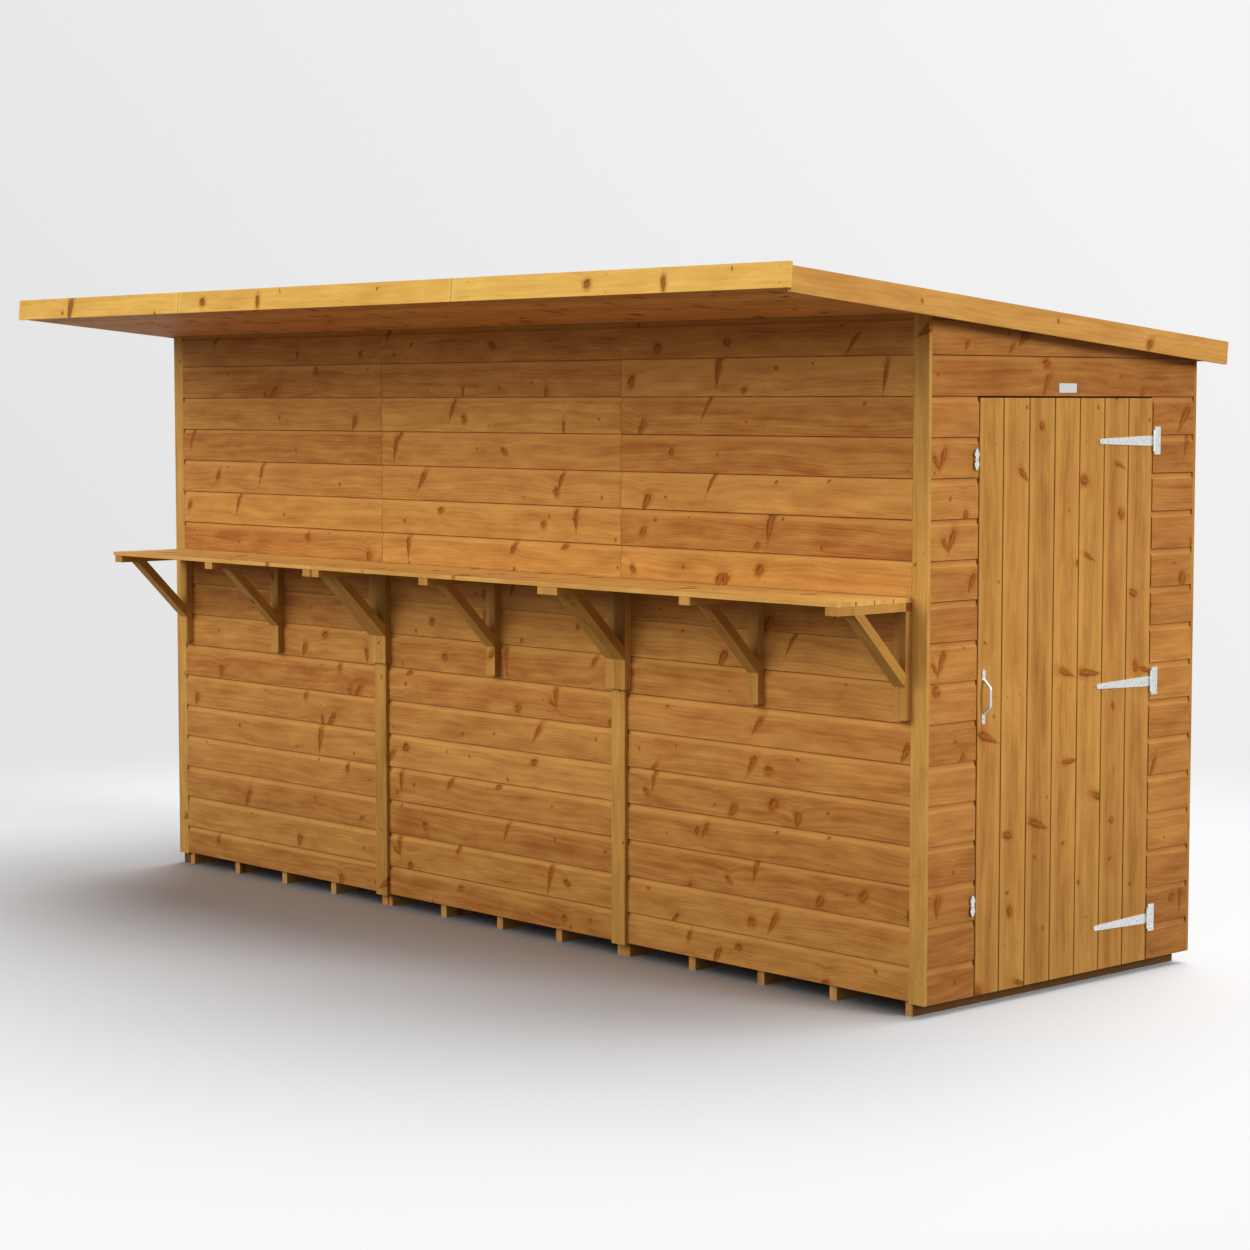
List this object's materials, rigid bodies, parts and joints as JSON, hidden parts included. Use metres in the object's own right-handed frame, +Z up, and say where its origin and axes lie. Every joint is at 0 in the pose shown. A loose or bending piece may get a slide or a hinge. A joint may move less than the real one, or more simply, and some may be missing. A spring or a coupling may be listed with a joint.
{
  "type": "outdoor garden bar",
  "caption": "Long softwood garden bar with closed serving hatches over a bracketed counter shelf, a ledged end door on T hinges and a single-slope roof that oversails the front",
  "frame": {"origin": "on the ground under the middle of the floor, in the plane of the joists' undersides", "axes": "+X along the front towards the end with the door, +Y from the serving front to the back, +Z up"},
  "size_m": [3.793, 1.8896, 2.0614],
  "materials": {
    "cladding_softwood": "dip-treated softwood shiplap, golden brown, satin",
    "trim_softwood": "dip-treated planed softwood, golden brown",
    "door_softwood": "dip-treated V-jointed softwood boards",
    "floor_softwood": "dip-treated softwood boards and joists",
    "roof_edge_softwood": "dip-treated planed softwood, light golden",
    "roofing_felt": "sand-faced bitumen felt, dark grey-green",
    "galvanised_steel": "bright galvanised pressed steel"
  },
  "bodies": {
    "building": {"back_cover_strip_left": "trim_softwood", "back_cover_strip_right": "trim_softwood", "back_left_trim": "trim_softwood", "back_right_trim": "trim_softwood", "back_wall_left": "cladding_softwood", "back_wall_middle": "cladding_softwood", "back_wall_right": "cladding_softwood", "bracket_1": "trim_softwood", "bracket_2": "trim_softwood", "bracket_3": "trim_softwood", "bracket_4": "trim_softwood", "bracket_5": "trim_softwood", "bracket_6": "trim_softwood", "bracket_7": "trim_softwood", "door_end_back": "cladding_softwood", "door_end_front": "cladding_softwood", "door_end_header": "cladding_softwood", "floor_left": "floor_softwood", "floor_middle": "floor_softwood", "floor_right": "floor_softwood", "front_cover_strip_left": "trim_softwood", "front_cover_strip_right": "trim_softwood", "front_fascia": "roof_edge_softwood", "front_header": "cladding_softwood", "front_left_trim": "trim_softwood", "front_right_trim": "trim_softwood", "front_wall_left": "cladding_softwood", "front_wall_middle": "cladding_softwood", "front_wall_right": "cladding_softwood", "hatch_left": "cladding_softwood", "hatch_middle": "cladding_softwood", "hatch_right": "cladding_softwood", "left_bargeboard": "roof_edge_softwood", "left_end_wall": "cladding_softwood", "lower_hinge_plate": "galvanised_steel", "middle_hinge_plate": "galvanised_steel", "rear_fascia": "roof_edge_softwood", "right_bargeboard": "roof_edge_softwood", "roof_deck": "cladding_softwood", "roof_felt": "roofing_felt", "serving_post_left": "cladding_softwood", "serving_post_left_end": "cladding_softwood", "serving_post_right": "cladding_softwood", "serving_post_right_end": "cladding_softwood", "shelf_left": "trim_softwood", "shelf_middle": "trim_softwood", "shelf_right": "trim_softwood", "soffit": "cladding_softwood", "upper_hinge_plate": "galvanised_steel"},
    "door": {"door_leaf": "door_softwood", "lower_hinge_strap": "galvanised_steel", "middle_hinge_strap": "galvanised_steel", "upper_hinge_strap": "galvanised_steel", "pull_handle": "galvanised_steel"},
    "lower_turn_button": {"lower_turn_button": "galvanised_steel"},
    "upper_turn_button": {"upper_turn_button": "galvanised_steel"}
  },
  "joints": [
    {"name": "door_hinge", "type": "hinge", "parent": "building", "child": "door", "pos_m": [1.84, 0.391, 0.875], "axis": [0, 0, 1], "range_deg": [0, 110]},
    {"name": "lower_turn", "type": "hinge", "parent": "building", "child": "lower_turn_button", "pos_m": [1.84, -0.408, 0.296], "axis": [1, 0, 0], "range_deg": [-90, 90]},
    {"name": "upper_turn", "type": "hinge", "parent": "building", "child": "upper_turn_button", "pos_m": [1.84, -0.408, 1.543], "axis": [1, 0, 0], "range_deg": [-90, 90]}
  ]
}
